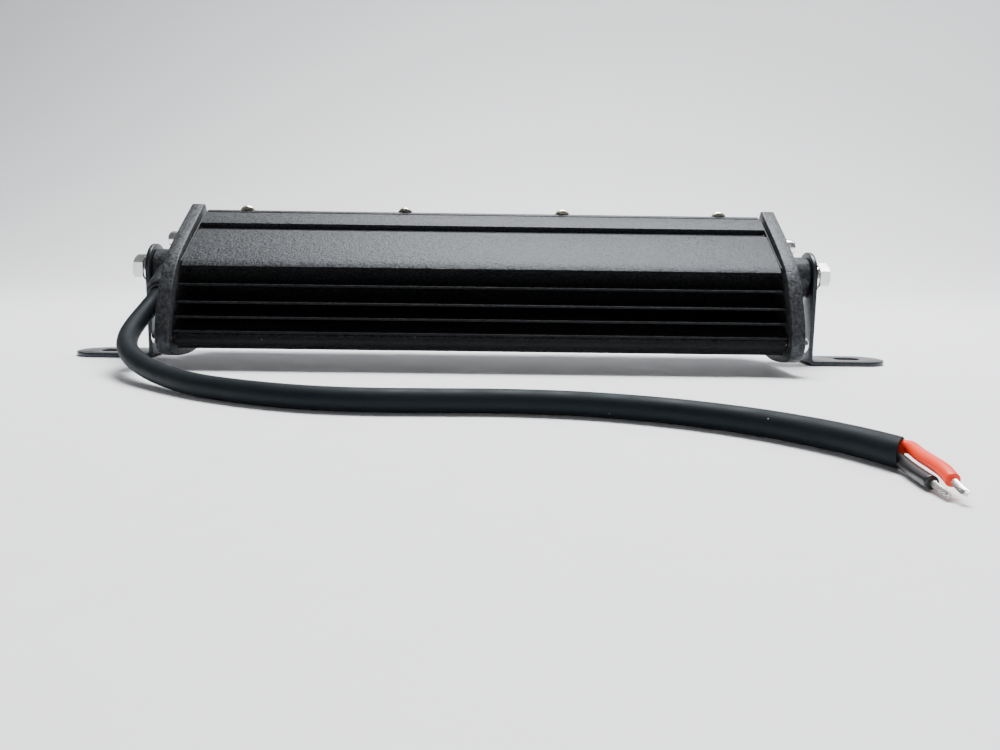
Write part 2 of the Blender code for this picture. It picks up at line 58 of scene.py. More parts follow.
# ------------------------------------------------------------------ sizes shared with the CAD, mm
GAP = 0.3
BAR_LENGTH, CAP_THICK = 230.0, 5.0
TILT = radians(32.0)
BOLT_A, BOLT_Y, BOLT_Z = 49.0, 8.9, 34.1
CAP_PROFILE = [
    (65.5, 19.2), (64.0, 20.7), (45.0, 20.8), (36.7, 20.6), (31.5, 20.3),
    (27.4, 19.8), (23.3, 18.8), (19.6, 17.3), (15.9, 15.4), (12.4, 13.2),
    (9.2, 11.0), (6.2, 8.8), (3.4, 6.4), (1.4, 4.2), (0.4, 2.2), (0.0, 0.0),
]
BODY_HALF, BODY_H, RAIL_H, FIN_THICK, FIN_SLOPE, WEB_H = 109.0, 18.5, 18.9, 0.8, radians(35.0), 0.8
FINS = [(14.0, 18.6), (10.5, 12.6), (7.1, 8.3), (3.7, 4.2)]
FIN_ROOT, BACK_PLATE, NOSE_A, NOSE_R, PORT_A, PORT_H = 27.0, 2.5, 5.7, 2.8, 44.5, 16.75
BEZEL_SCREW_X, BEZEL_SCREW_H = (-93.3, -31.1, 31.1, 93.3), 17.3
BOSS_R, BOSS_END, INSERT_R, BOLT_R, HEX_AF, HEX_H = 8.0, 128.0, 4.0, 3.0, 10.0, 4.0
HEX_TURN = radians(30.0)
LEG_X, SHEET, BRACKET_HALF, FOOT_END, BEND_R = 128.3, 1.6, 10.0, 161.5, 1.2
SLOT_X0, SLOT_X1, SLOT_R = 142.0, 152.3, 3.25
HOOD_X, HOOD_H, HOOD_R, HOOD_A0, HOOD_A1 = -121.6, 1.5, 5.9, 31.0, 46.0
CABLE_R, CORE_R, TIP_R = 3.4, 1.45, 0.75
FLOOR_Z = CABLE_R + 0.05
SHEATH_ROUTE = [
    (-121.6, -2.9, 28.5), (-122.0, -8.9, 24.8), (-123.4, -16.5, 20.2),
    (-124.3, -25.5, 15.7), (-123.3, -35.0, 12.2), (-119.3, -46.0, 9.3),
    (-112.0, -57.4, 6.8), (-102.2, -68.2, 4.8), (-91.6, -78.2, 3.8),
    (-78.9, -88.4, FLOOR_Z), (-60.0, -99.3, FLOOR_Z), (-43.3, -105.2, FLOOR_Z),
    (-28.0, -107.2, FLOOR_Z), (-10.4, -106.9, FLOOR_Z), (8.0, -106.6, FLOOR_Z),
    (28.8, -109.6, FLOOR_Z), (48.8, -117.4, FLOOR_Z), (65.4, -128.4, FLOOR_Z),
    (77.0, -140.2, FLOOR_Z), (84.8, -151.6, FLOOR_Z), (89.6, -161.9, FLOOR_Z),
]
RED_ROUTE = [(90.75, -161.8, 4.7), (91.25, -162.95, 4.75), (90.9, -167.5, 4.4), (90.2, -173.5, 4.4), (89.9, -179.0, 4.1), (89.6, -183.0, 3.2)]
RED_TIP = [(89.55, -183.45, 3.1), (89.55, -185.4, 2.6), (89.7, -187.6, 2.0)]
BLACK_ROUTE = [(88.75, -162.75, 2.2), (89.1, -163.6, 2.05), (88.9, -167.5, 1.7), (88.4, -173.0, 1.6), (88.0, -178.6, 1.55)]
BLACK_TIP = [(88.0, -179.05, 1.5), (87.95, -182.0, 1.2), (88.1, -185.0, 0.95)]

LAMP = Matrix.Translation(Vector((0, BOLT_Y - BOLT_A * cos(TILT), BOLT_Z - BOLT_A * sin(TILT))) * MM) @ Matrix.Rotation(TILT, 4, "X")
WORLD = Matrix.Identity(4)
cutters = bpy.data.collections.new("scratch")
bpy.context.scene.collection.children.link(cutters)
pieces = bpy.data.collections.new("finished")
bpy.context.scene.collection.children.link(pieces)


# ------------------------------------------------------------------ materials
class Nodes:
    def __init__(self, name):
        self.mat = bpy.data.materials.new(name)
        self.mat.use_nodes = True
        self.tree = self.mat.node_tree
        self.bsdf = self.tree.nodes["Principled BSDF"]
        self.coord = self.new("ShaderNodeTexCoord").outputs["Object"]

    def new(self, kind, **props):
        node = self.tree.nodes.new(kind)
        for key, value in props.items():
            setattr(node, key, value)
        return node

    def link(self, a, b):
        self.tree.links.new(a, b)

    def put(self, socket, value):
        target = self.bsdf.inputs[socket]
        if isinstance(value, (int, float)):
            target.default_value = value
        elif isinstance(value, tuple):
            target.default_value = (*value, 1.0)
        else:
            self.link(value, target)
        return self

    def scaled(self, scale, rotation=(0, 0, 0)):
        node = self.new("ShaderNodeMapping")
        node.inputs["Scale"].default_value = scale
        node.inputs["Rotation"].default_value = rotation
        self.link(self.coord, node.inputs["Vector"])
        return node.outputs["Vector"]

    def noise(self, scale, detail=3.0, rough=0.55, vector=None):
        node = self.new("ShaderNodeTexNoise")
        node.inputs["Scale"].default_value = scale
        node.inputs["Detail"].default_value = detail
        node.inputs["Roughness"].default_value = rough
        self.link(vector or self.coord, node.inputs["Vector"])
        return node.outputs["Fac"]

    def voronoi(self, scale, feature="F1", vector=None):
        node = self.new("ShaderNodeTexVoronoi", feature=feature)
        node.inputs["Scale"].default_value = scale
        self.link(vector or self.coord, node.inputs["Vector"])
        return node.outputs["Distance"]

    def ramp(self, value, stops):
        node = self.new("ShaderNodeValToRGB")
        elements = node.color_ramp.elements
        while len(elements) < len(stops):
            elements.new(0.5)
        for element, (at, colour) in zip(elements, stops):
            element.position = at
            element.color = (*colour, 1.0) if isinstance(colour, tuple) else (colour, colour, colour, 1.0)
        self.link(value, node.inputs["Fac"])
        return node.outputs["Color"]

    def range(self, value, lo, hi, a=0.0, b=1.0):
        node = self.new("ShaderNodeMapRange")
        for key, number in (("From Min", a), ("From Max", b), ("To Min", lo), ("To Max", hi)):
            node.inputs[key].default_value = number
        self.link(value, node.inputs["Value"])
        return node.outputs["Result"]

    def math(self, operation, a, b=0.0):
        node = self.new("ShaderNodeMath", operation=operation)
        for slot, value in zip(node.inputs, (a, b)):
            if isinstance(value, (int, float)):
                slot.default_value = value
            else:
                self.link(value, slot)
        return node.outputs[0]

    def mix(self, factor, a, b):
        node = self.new("ShaderNodeMix", data_type="RGBA")
        for slot, value in ((node.inputs[0], factor), (node.inputs[6], a), (node.inputs[7], b)):
            if isinstance(value, tuple):
                slot.default_value = (*value, 1.0)
            elif isinstance(value, (int, float)):
                slot.default_value = value
            else:
                self.link(value, slot)
        return node.outputs[2]

    def bump(self, height, strength, distance, after=None):
        node = self.new("ShaderNodeBump")
        node.inputs["Strength"].default_value = strength
        node.inputs["Distance"].default_value = distance
        self.link(height, node.inputs["Height"])
        if after is not None:
            self.link(after, node.inputs["Normal"])
        self.link(node.outputs["Normal"], self.bsdf.inputs["Normal"])
        return node.outputs["Normal"]

    def edge(self, radius=0.0002):
        """1 along edges, where the rounded normal leaves the flat one: a mask for worn edges and for a painted
        highlight along edges.
        """
        bevel = self.new("ShaderNodeBevel", samples=4)
        bevel.inputs["Radius"].default_value = radius
        geometry = self.new("ShaderNodeNewGeometry")
        dot = self.new("ShaderNodeVectorMath", operation="DOT_PRODUCT")
        self.link(bevel.outputs["Normal"], dot.inputs[0])
        self.link(geometry.outputs["Normal"], dot.inputs[1])
        return self.range(dot.outputs["Value"], 1.0, 0.0, 0.80, 0.98)


def powder(name, grain, depth, base=0.009, rough=0.46, wear_and_highlight=0.5, specular=0.255):
    """Black sand-texture powder coat with dust and faint lighter edges, partly wear and partly a painted highlight."""
    n = Nodes(name)
    fine = n.noise(grain, 2.5, 0.65)
    coarse = n.noise(grain * 0.32, 2.0, 0.5)
    cloud = n.noise(28.0, 3.0)
    height = n.math("ADD", fine, n.math("MULTIPLY", coarse, 0.9))
    n.bump(height, 1.0, depth)
    tone = n.ramp(fine, [(0.30, (base * 0.55, base * 0.56, base * 0.60)), (0.62, (base * 1.25, base * 1.27, base * 1.36))])
    tone = n.mix(n.range(cloud, 0.0, 0.30, 0.35, 0.75), tone, (base * 1.5, base * 1.5, base * 1.55))
    specks = n.range(n.voronoi(grain * 0.16), 1.0, 0.0, 0.020, 0.045)
    thin = n.range(n.noise(60.0, 1.0), 0.0, 1.0, 0.60, 0.66)
    tone = n.mix(n.math("MULTIPLY", n.math("MULTIPLY", specks, thin), 0.5), tone, (0.34, 0.34, 0.33))
    # edges painted lighter: partly wear, partly a painted highlight that stands in for the bright lines along the fin
    # tips
    edge = n.math("MULTIPLY", n.edge(), n.range(n.noise(900.0, 2.0), 0.0, 1.0, 0.50, 0.68))
    tone = n.mix(n.math("MULTIPLY", edge, wear_and_highlight), tone, (0.22, 0.22, 0.23))
    n.put("Base Color", tone)
    n.put("Roughness", n.range(fine, rough - 0.08, rough + 0.12, 0.3, 0.7))
    n.put("Specular IOR Level", n.range(fine, specular * 0.45, specular * 1.55, 0.36, 0.64))
    n.put("Specular Tint", (0.78, 0.88, 1.0))
    return n


def plain(name, colour, rough, metal=0.0, grain=1500.0, depth=0.00001, vary=0.25, specular=0.5):
    """Even surface with fine mottling, used where the real one is smooth."""
    n = Nodes(name)
    a = n.noise(grain, 3.0)
    b = n.noise(120.0, 3.0)
    n.bump(a, 0.6, depth)
    dark = tuple(c * (1 - vary) for c in colour)
    n.put("Base Color", n.mix(b, dark, colour))
    n.put("Roughness", n.range(b, max(0.03, rough - 0.08), rough + 0.08, 0.3, 0.7))
    n.put("Metallic", metal)
    n.put("Specular IOR Level", specular)
    return n


body_n = powder("sand_powder_coat", 1250.0, 0.00016)
# two faint rub marks on the main surface near the middle of the bar
where = body_n.new("ShaderNodeSeparateXYZ")
body_n.link(body_n.coord, where.inputs[0])
streak = body_n.noise(1.0, 2.0, 0.6, body_n.scaled((55.0, 2300.0, 2300.0)))


def near(axis, middle, full, fade):
    """1 close to a place along one axis, falling to 0."""
    away = body_n.math("ABSOLUTE", body_n.math("ADD", where.outputs[axis], -middle))
    return body_n.range(away, 1.0, 0.0, full, fade)


zone = body_n.math("MULTIPLY", body_n.math("MULTIPLY", near(0, -0.0145, 0.007, 0.011), near(1, -0.0210, 0.0006, 0.0012)), near(2, 0.0376, 0.0012, 0.0020))
rub = body_n.math("MULTIPLY", zone, body_n.range(streak, 0.0, 1.0, 0.58, 0.63))
body_n.put("Base Color", body_n.mix(body_n.math("MULTIPLY", rub, 0.5), body_n.bsdf.inputs["Base Color"].links[0].from_socket, (0.34, 0.34, 0.35)))
# the coat is thin, smooth and dark down between the fins and round the nose
depth_in = body_n.new("ShaderNodeVectorMath", operation="DOT_PRODUCT")
body_n.link(body_n.coord, depth_in.inputs[0])
depth_in.inputs[1].default_value = (0.0, cos(TILT), sin(TILT))
TIP_A = (BOLT_Y - BOLT_A * cos(TILT)) * MM * cos(TILT) + (BOLT_Z - BOLT_A * sin(TILT)) * MM * sin(TILT)
thin = body_n.range(depth_in.outputs["Value"], 1.0, 0.0, TIP_A + 0.0253, TIP_A + 0.0259)
facing = body_n.new("ShaderNodeVectorMath", operation="DOT_PRODUCT")
body_n.link(body_n.new("ShaderNodeNewGeometry").outputs["True Normal"], facing.inputs[0])
facing.inputs[1].default_value = (0.0, 0.0, 1.0)
thin = body_n.math("MULTIPLY", thin, body_n.range(facing.outputs["Value"], 1.0, 0.0, 0.20, 0.45))
for socket, low in (("Specular IOR Level", 0.05), ("Roughness", 0.30)):
    keep = body_n.bsdf.inputs[socket].links[0].from_socket
    body_n.put(socket, body_n.math("ADD", body_n.math("MULTIPLY", keep, body_n.range(thin, 1.0, 0.0)), body_n.math("MULTIPLY", thin, low)))
BODY = body_n.mat
CAP = powder("leather_powder_coat", 820.0, 0.00024, base=0.019, rough=0.46, wear_and_highlight=0.7, specular=0.32).mat
SHEET_MAT = powder("bracket_black", 3200.0, 0.00002, base=0.006, rough=0.32, wear_and_highlight=0.8, specular=0.5).mat
PVC = plain("cable_pvc", (0.0075, 0.0095, 0.0115), 0.56, grain=1400.0, depth=0.00006, specular=0.12)
PVC.put("Specular Tint", (0.72, 0.90, 1.0))
dust = PVC.range(PVC.voronoi(260.0), 1.0, 0.0, 0.03, 0.06)
dust = PVC.math("MULTIPLY", dust, PVC.range(PVC.noise(45.0, 2.0), 0.0, 1.0, 0.56, 0.64))
PVC.put("Base Color", PVC.mix(PVC.math("MULTIPLY", dust, 0.8), PVC.bsdf.inputs["Base Color"].links[0].from_socket, (0.42, 0.42, 0.40)))
PVC = PVC.mat
RED = plain("red_core", (1.0, 0.045, 0.010), 0.40, grain=1200.0, depth=0.00002, vary=0.15, specular=0.3).mat
BLACK_CORE = plain("black_core", (0.012, 0.012, 0.014), 0.38, grain=1200.0, depth=0.00002).mat
RUBBER = plain("silicone_rubber", (0.016, 0.016, 0.017), 0.62, grain=2000.0, depth=0.00002).mat
TIN = plain("tinned_strands", (0.80, 0.79, 0.76), 0.28, 1.0, grain=2500.0, depth=0.00001).mat
ZINC = plain("zinc_plate", (0.93, 0.93, 0.91), 0.22, 1.0, grain=2600.0, depth=0.000012, vary=0.12).mat
YELLOW_ZINC = plain("passivated_zinc", (0.93, 0.88, 0.72), 0.36, 1.0, grain=2600.0, depth=0.000012, vary=0.2).mat
BRASS = plain("turned_brass", (0.70, 0.50, 0.20), 0.30, 1.0).mat
MIRROR = plain("metallised_reflector", (0.88, 0.88, 0.89), 0.10, 1.0, grain=600.0, depth=0.000004, vary=0.05).mat
BOARD = plain("white_solder_mask", (0.80, 0.80, 0.77), 0.45, vary=0.08).mat
PHOSPHOR = plain("led_phosphor", (0.86, 0.66, 0.12), 0.45, vary=0.15).mat
GREEN = plain("circuit_board", (0.02, 0.16, 0.06), 0.40).mat
PAD = plain("thermal_pad", (0.34, 0.34, 0.36), 0.80).mat
PART_BLACK = plain("moulded_component", (0.02, 0.02, 0.022), 0.50).mat
lens_n = plain("clear_lens", (0.97, 0.98, 0.98), 0.04, grain=300.0, depth=0.000003, vary=0.02)
lens_n.put("Transmission Weight", 1.0)
lens_n.put("IOR", 1.49)
LENS = lens_n.mat


# ------------------------------------------------------------------ mesh helpers
def finish_mesh(name, bm, look=None, place=LAMP, cutter=False, smooth=True, sharp=32):
    bmesh.ops.remove_doubles(bm, verts=bm.verts, dist=1e-6)
    bmesh.ops.recalc_face_normals(bm, faces=bm.faces)
    bm.transform(place)
    mesh = bpy.data.meshes.new(name)
    bm.to_mesh(mesh)
    bm.free()
    if smooth:
        mesh.shade_smooth()
        mesh.set_sharp_from_angle(angle=radians(sharp))
    obj = bpy.data.objects.new(name, mesh)
    (cutters if cutter else pieces).objects.link(obj)
    if look:
        mesh.materials.append(look)
    return obj


def ring(x, y, r, n=32):
    return [(x + r * cos(tau * i / n), y + r * sin(tau * i / n)) for i in range(n)]


def rect(x0, y0, x1, y1):
    return [(x0, y0), (x1, y0), (x1, y1), (x0, y1)]


def rounded(points, radius, steps=4):
    """Round every corner of a closed outline, as far as its sides allow."""
    out = []
    count = len(points)
    for i in range(count):
        p, a, b = Vector(points[i]), Vector(points[i - 1]), Vector(points[(i + 1) % count])
        u, v = a - p, b - p
        if u.length < 1e-6 or v.length < 1e-6:
            continue
        cosine = max(-1.0, min(1.0, u.normalized().dot(v.normalized())))
        angle = acos(cosine)
        if angle > radians(170):
            out.append(tuple(p))
            continue
        cut = min(radius / tan(angle / 2), u.length * 0.45, v.length * 0.45)
        start, end = p + u.normalized() * cut, p + v.normalized() * cut
        for k in range(steps + 1):
            t = k / steps
            q = start * (1 - t) ** 2 + p * 2 * t * (1 - t) + end * t ** 2
            out.append(tuple(q))
    return out


SECTION = Matrix(((0, 0, 1, 0), (1, 0, 0, 0), (0, 1, 0, 0), (0, 0, 0, 1)))
FACE_ON = Matrix(((1, 0, 0, 0), (0, 0, -1, 0), (0, 1, 0, 0), (0, 0, 0, 1)))


def plate(name, outlines, lo, hi, turn=SECTION, look=None, place=LAMP, cutter=False, bevel=0.0):
    curve = bpy.data.curves.new(name + "_outline", "CURVE")
    curve.dimensions = "2D"
    curve.fill_mode = "BOTH"
    curve.extrude = (hi - lo) / 2 * MM
    for outline in outlines:
        spline = curve.splines.new("POLY")
        spline.points.add(len(outline) - 1)
        for point, (x, y) in zip(spline.points, outline):
            point.co = (x * MM, y * MM, 0, 1)
        spline.use_cyclic_u = True
    guide = bpy.data.objects.new(name + "_guide", curve)
    pieces.objects.link(guide)
    mesh = bpy.data.meshes.new_from_object(guide.evaluated_get(bpy.context.evaluated_depsgraph_get()))
    bpy.data.objects.remove(guide)
    mid = (lo + hi) / 2 * MM * (-1 if turn is FACE_ON else 1)
    mesh.transform(turn @ Matrix.Translation((0, 0, mid)))
    bm = bmesh.new()
    bm.from_mesh(mesh)
    bpy.data.meshes.remove(mesh)
    bmesh.ops.remove_doubles(bm, verts=bm.verts, dist=1e-6)
    bmesh.ops.recalc_face_normals(bm, faces=bm.faces)
    if bevel:
        bmesh.ops.dissolve_limit(bm, angle_limit=radians(0.5), verts=bm.verts, edges=bm.edges)
        sharp = [e for e in bm.edges if len(e.link_faces) == 2 and e.calc_face_angle(0) > radians(50)]
        bmesh.ops.bevel(bm, geom=sharp, offset=bevel * MM, segments=3, profile=0.5, affect="EDGES", clamp_overlap=True)
    return finish_mesh(name, bm, look, place, cutter)


def axis_matrix(origin, direction):
    return Matrix.Translation(Vector(origin) * MM) @ Vector(direction).normalized().to_track_quat("Z", "Y").to_matrix().to_4x4()


def turned(bm, profile, origin, direction, n=48, closed=False):
    place = axis_matrix(origin, direction)
    verts = [bm.verts.new(place @ Vector((r * MM, 0, z * MM))) for r, z in profile]
    edges = [bm.edges.new(p) for p in list(zip(verts, verts[1:])) + ([(verts[-1], verts[0])] if closed else [])]
    bmesh.ops.spin(bm, geom=verts + edges, cent=place.translation, axis=place.to_3x3() @ Vector((0, 0, 1)),
                   angle=tau, steps=n, use_merge=True)
    bmesh.ops.remove_doubles(bm, verts=bm.verts, dist=1e-6)
    bmesh.ops.dissolve_degenerate(bm, edges=bm.edges, dist=1e-7)


def rod(bm, origin, direction, length, r, n=32, r2=None):
    bmesh.ops.create_cone(bm, cap_ends=True, segments=n, radius1=r * MM, radius2=(r if r2 is None else r2) * MM,
                          depth=length * MM, matrix=axis_matrix(origin, direction) @ Matrix.Translation((0, 0, length / 2 * MM)))


def block(bm, lo, hi, spin=None):
    lo, hi = Vector(lo) * MM, Vector(hi) * MM
    place = Matrix.Translation((lo + hi) / 2)
    if spin:
        place = place @ spin
    bmesh.ops.create_cube(bm, size=1.0, matrix=place @ Matrix.Diagonal((*(hi - lo), 1.0)))


def boolean(obj, other, operation="DIFFERENCE"):
    """Cut or join at once, and drop the helper."""
    mod = obj.modifiers.new("b", "BOOLEAN")
    mod.operation, mod.object, mod.solver = operation, other, "EXACT"
    mesh = bpy.data.meshes.new_from_object(obj.evaluated_get(bpy.context.evaluated_depsgraph_get()))
    obj.modifiers.clear()
    old, obj.data = obj.data, mesh
    name = old.name
    bpy.data.meshes.remove(old)
    mesh.name = name
    bpy.data.objects.remove(other)
    mesh.shade_smooth()
    mesh.set_sharp_from_angle(angle=radians(32))
    return obj


def done(obj, body, slot, *nodes):
    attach(obj, body)
    if nodes:
        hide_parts(*nodes)
    return obj


# ------------------------------------------------------------------ the cable first
def smooth_path(points, step):
    pts = [Vector(p) for p in points]
    pts = [2 * pts[0] - pts[1]] + pts + [2 * pts[-1] - pts[-2]]
    fine = []
    for i in range(1, len(pts) - 2):
        p0, p1, p2, p3 = pts[i - 1 : i + 3]
        for k in range(12):
            t = k / 12
            fine.append(0.5 * (2 * p1 + (p2 - p0) * t + (2 * p0 - 5 * p1 + 4 * p2 - p3) * t * t
                               + (3 * p1 - 3 * p2 + p3 - p0) * t ** 3))
    fine.append(pts[-2])
    total = sum((b - a).length for a, b in zip(fine, fine[1:]))
    count = max(2, round(total / step))
    out, walked, target = [fine[0]], 0.0, total / count
    for a, b in zip(fine, fine[1:]):
        length = (b - a).length
        while length and walked + length >= target - 1e-9 and len(out) < count:
            out.append(a.lerp(b, (target - walked) / length))
            target += total / count
        walked += length
    return out + [fine[-1]]


def sweep(name, path, radius, look, sides=24, end_round=0.0, place=WORLD):
    """A closed tube along a path, with its ends rounded off a little."""
    stations = []
    for i, p in enumerate(path):
        ahead = path[min(i + 1, len(path) - 1)] - path[max(i - 1, 0)]
        stations.append((p, ahead.normalized(), radius))
    if end_round:
        p0, d0, _ = stations[0]
        p1, d1, _ = stations[-1]
        stations = ([(p0, d0, radius - end_round), (p0 + d0 * end_round * 0.4, d0, radius - end_round * 0.25)]
                    + [(p0 + d0 * end_round, d0, radius)] + stations[1:-1]
                    + [(p1 - d1 * end_round, d1, radius), (p1 - d1 * end_round * 0.4, d1, radius - end_round * 0.25), (p1, d1, radius - end_round)])
    bm = bmesh.new()
    up = Vector((0, 0, 1)) if abs(stations[0][1].z) < 0.9 else Vector((1, 0, 0))
    rings = []
    for p, d, r in stations:
        side = d.cross(up).normalized()
        up = side.cross(d).normalized()
        rings.append([bm.verts.new((p + side * (r * cos(tau * k / sides)) + up * (r * sin(tau * k / sides))) * MM) for k in range(sides)])
    for a, b in zip(rings, rings[1:]):
        for k in range(sides):
            bm.faces.new((a[k], a[(k + 1) % sides], b[(k + 1) % sides], b[k]))
    bm.faces.new(list(reversed(rings[0])))
    bm.faces.new(rings[-1])
    return finish_mesh(name, bm, look, place, sharp=40)


sheath_path = smooth_path(SHEATH_ROUTE, 3.0)
END = sheath_path[-1]
ALONG = (sheath_path[-1] - sheath_path[-2]).normalized()
ASIDE = Vector((-ALONG.y, ALONG.x, 0.0)).normalized()


def cut_sheath():
    """The sheath, snipped at a slant, with its jacket open round the cores."""
    tube = sweep("cable_sheath_skin", sheath_path + [END + ALONG * 3.0], CABLE_R, PVC, 40, 0.0)
    bm = bmesh.new()
    bm.from_mesh(tube.data)
    slant = Vector((0.80, -0.60, 0.0))
    bmesh.ops.bisect_plane(bm, geom=bm.verts[:] + bm.edges[:] + bm.faces[:], dist=1e-7,
                           plane_co=END * MM, plane_no=slant, clear_outer=True)
    rim = [e for e in bm.edges if len(e.link_faces) == 1]
    cap = bmesh.ops.contextual_create(bm, geom=rim)["faces"]
    bmesh.ops.recalc_face_normals(bm, faces=bm.faces)
    bmesh.ops.inset_individual(bm, faces=cap, thickness=0.12 * MM, depth=0.10 * MM)
    bmesh.ops.inset_individual(bm, faces=cap, thickness=0.22 * MM, depth=0.0)
    pushed = bmesh.ops.extrude_face_region(bm, geom=cap)
    bmesh.ops.delete(bm, geom=cap, context="FACES_ONLY")
    moved = [v for v in pushed["geom"] if isinstance(v, bmesh.types.BMVert)]
    bmesh.ops.translate(bm, verts=moved, vec=ALONG * -2.6 * MM)
    bmesh.ops.recalc_face_normals(bm, faces=bm.faces)
    bm.to_mesh(tube.data)
    bm.free()
    tube.data.shade_smooth()
    tube.data.set_sharp_from_angle(angle=radians(40))
    return tube


sheath = done(cut_sheath(), "lamp", "cable_pvc", "cable_sheath")
red_in = [tuple(END - ALONG * 2.3 + ASIDE * 1.0 + Vector((0, 0, 1.02)))]
black_in = [tuple(END - ALONG * 2.3 - ASIDE * 1.0 - Vector((0, 0, 1.02)))]
red = done(sweep("red_core_skin", smooth_path(red_in + RED_ROUTE, 0.9), CORE_R, RED, 32, 0.2), "lamp", "red_core", "wire_red")
black = done(sweep("black_core_skin", smooth_path(black_in + BLACK_ROUTE, 0.9), CORE_R, BLACK_CORE, 32, 0.2), "lamp", "black_core", "wire_black")


def strands(name, route, node):
    """Tinned end: fine strands laid together with a slow twist."""
    path = smooth_path(route, 0.45)
    rnd = random.Random(len(name) * 7 + 3)
    bm_all = bmesh.new()
    lay = [(0.0, 0.0)] + [(0.30, tau * k / 6) for k in range(6)] + [(0.55, tau * (k + 0.5) / 11) for k in range(11)]
    for r0, a0 in lay:
        count = len(path) - (rnd.randint(0, 2) if r0 > 0.4 else 0)
        pts = []
        for i in range(count):
            d = (path[min(i + 1, len(path) - 1)] - path[max(i - 1, 0)]).normalized()
            side = d.cross(Vector((0, 0, 1))).normalized()
            up = side.cross(d)
            spread = 1.0 + 0.10 * (i / len(path)) ** 2
            turn = a0 + i * 0.16
            pts.append(path[i] + side * (r0 * spread * cos(turn)) + up * (r0 * spread * sin(turn)))
        tmp = sweep("t", pts, 0.155, None, 8)
        bm_all.from_mesh(tmp.data)
        bpy.data.objects.remove(tmp)
    mesh = bpy.data.meshes.new(name)
    bm_all.to_mesh(mesh)
    bm_all.free()
    mesh.shade_smooth()
    mesh.materials.append(TIN)
    obj = bpy.data.objects.new(name, mesh)
    pieces.objects.link(obj)
    return done(obj, "lamp", "tinned_copper", node)


tip_red = strands("red_core_strands", RED_TIP, "wire_tip_red")
tip_black = strands("black_core_strands", BLACK_TIP, "wire_tip_black")

# ------------------------------------------------------------------ housing
half = [
    (FIN_ROOT + BACK_PLATE, 16.0), (38.4, 16.0), (38.4, 12.6), (43.4, 12.6), (43.4, 15.0), (61.3, 15.0), (61.3, RAIL_H),
    (53.2, RAIL_H), (53.2, 17.2), (49.0, 17.2), (49.0, BODY_H), (36.0, BODY_H), (29.5, 18.42), (27.4, 18.22), (25.2, 17.75), (26.0, 15.7),
    (FIN_ROOT, 15.7),
]


def web(a):
    return WEB_H + 0.0008 * max(a - 8.4, 0.0) ** 2


def root_of(a, h):
    while a < FIN_ROOT and h > web(a) and (a - NOSE_A) ** 2 + h * h > NOSE_R ** 2:
        a, h = a + 0.01 * cos(FIN_SLOPE), h - 0.01 * sin(FIN_SLOPE)
    if a >= FIN_ROOT:
        return (FIN_ROOT, h)
    return (a, max(h, web(a)))


def fin_outline(h, tip):
    t = FIN_THICK / 2
    da, dh = t * sin(FIN_SLOPE), t * cos(FIN_SLOPE)
    upper = (tip + da + 0.10, h + dh - 0.07)
    lower = (tip - da + 0.05, h - dh - 0.035)
    return [root_of(*upper), upper, (tip, h), lower, root_of(*lower)]


def nose_point(angle):
    return (NOSE_A + NOSE_R * cos(angle), max(NOSE_R * sin(angle), 0.0))


for h, tip in FINS[:-1]:
    half += fin_outline(h, tip)
nub = fin_outline(*FINS[-1])
start = asin(WEB_H / NOSE_R)
first, last = (atan2(p[1], p[0] - NOSE_A) for p in (nub[0], nub[-1]))
half += [nose_point(start + (first - start) * i / 8) for i in range(8)] + nub
half += [nose_point(last + (pi - last) * i / 12) for i in range(1, 13)]
lower = [(a, -h) for a, h in reversed(half[:-1])]
section = rounded(half + lower, 0.12, 3)
housing = plate("housing_extrusion", [section], -BODY_HALF, BODY_HALF, look=BODY)
bm = bmesh.new()
for side in (-1, 1):
    for a, h in ((NOSE_A, 0), (PORT_A, PORT_H), (PORT_A, -PORT_H)):
        rod(bm, (side * 98.0, a, h), (side, 0, 0), 15.0, 1.35, 20)
for x in BEZEL_SCREW_X:
    for s in (-1, 1):
        rod(bm, (x, 54.6, s * BEZEL_SCREW_H), (0, 1, 0), 10.0, 1.3, 20)
boolean(housing, finish_mesh("ports", bm, cutter=True))
done(housing, "lamp", "powder_coat", "housing")


# ------------------------------------------------------------------ end caps
def fine_outline():
    """The cap's outline on a smooth curve, closed."""
    pts = CAP_PROFILE[2:] + [(a, -h) for a, h in reversed(CAP_PROFILE[2:-1])]
    p3 = [Vector((a, h, 0)) for a, h in pts]
    out = [(v.x, v.y) for v in smooth_path(p3, 1.0)]
    return out + rounded([(45.0, -20.8), (65.5, -20.7), (65.5, 20.7), (45.0, 20.8)], 1.8, 6)[7:-7]


